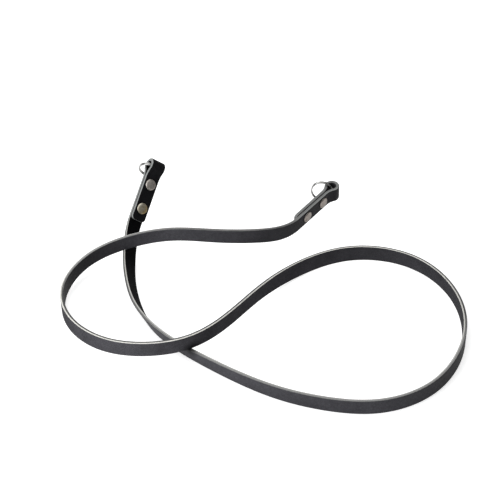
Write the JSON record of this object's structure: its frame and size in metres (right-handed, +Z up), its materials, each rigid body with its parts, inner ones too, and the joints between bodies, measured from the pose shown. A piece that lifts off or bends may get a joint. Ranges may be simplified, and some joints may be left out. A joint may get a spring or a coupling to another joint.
{
  "type": "coiled camera strap",
  "caption": "Flat black leather camera strap laid in a figure of eight, with both ends folded round split rings and held by double-cap rivets.",
  "frame": {"origin": "centre of the left split ring, where the left end hangs", "axes": "+X to the right along the line of the two hung ends, +Y away from the viewer, +Z up; the loops stand on a level surface below the origin"},
  "size_m": [0.317, 0.2418, 0.0669],
  "materials": {
    "black_leather": "smooth matt grain outside, napped inside, light burnished cut edges",
    "ring_steel": "bright plated wire",
    "rivet_nickel": "satin nickel plate"
  },
  "bodies": {
    "root": {"strap": "black_leather", "left_ring": "ring_steel", "right_ring": "ring_steel", "left_upper_rivet": "rivet_nickel", "left_lower_rivet": "rivet_nickel", "right_upper_rivet": "rivet_nickel", "right_lower_rivet": "rivet_nickel"}
  },
  "joints": []
}
